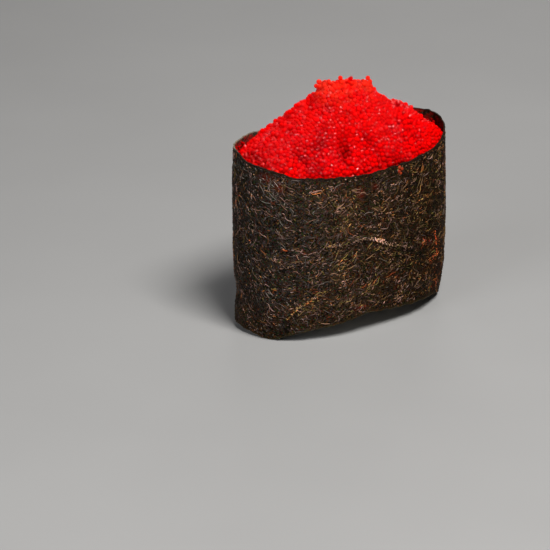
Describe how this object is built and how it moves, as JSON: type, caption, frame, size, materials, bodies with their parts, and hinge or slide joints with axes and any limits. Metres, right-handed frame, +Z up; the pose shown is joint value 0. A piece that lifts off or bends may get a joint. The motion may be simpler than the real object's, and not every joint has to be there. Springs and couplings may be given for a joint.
{
  "type": "gunkan sushi",
  "caption": "Battleship-style sushi: an upright oval band of nori round pressed rice, heaped with small red fish roe.",
  "frame": {"origin": "middle of the underside of the whole, on the table it stands on", "axes": "+Z up, +X along the oval's length, -Y towards the long side that is lower at the rim"},
  "size_m": [0.0496, 0.0292, 0.0517],
  "materials": {
    "nori": "thin pressed seaweed, black-green and fibrous, slightly damp",
    "roe": "wet, translucent small eggs, bright red",
    "rice": "cooked white rice, slightly glossy"
  },
  "bodies": {
    "root": {"nori_band": "nori", "roe_heap": "roe", "rice_core": "rice"}
  },
  "joints": []
}
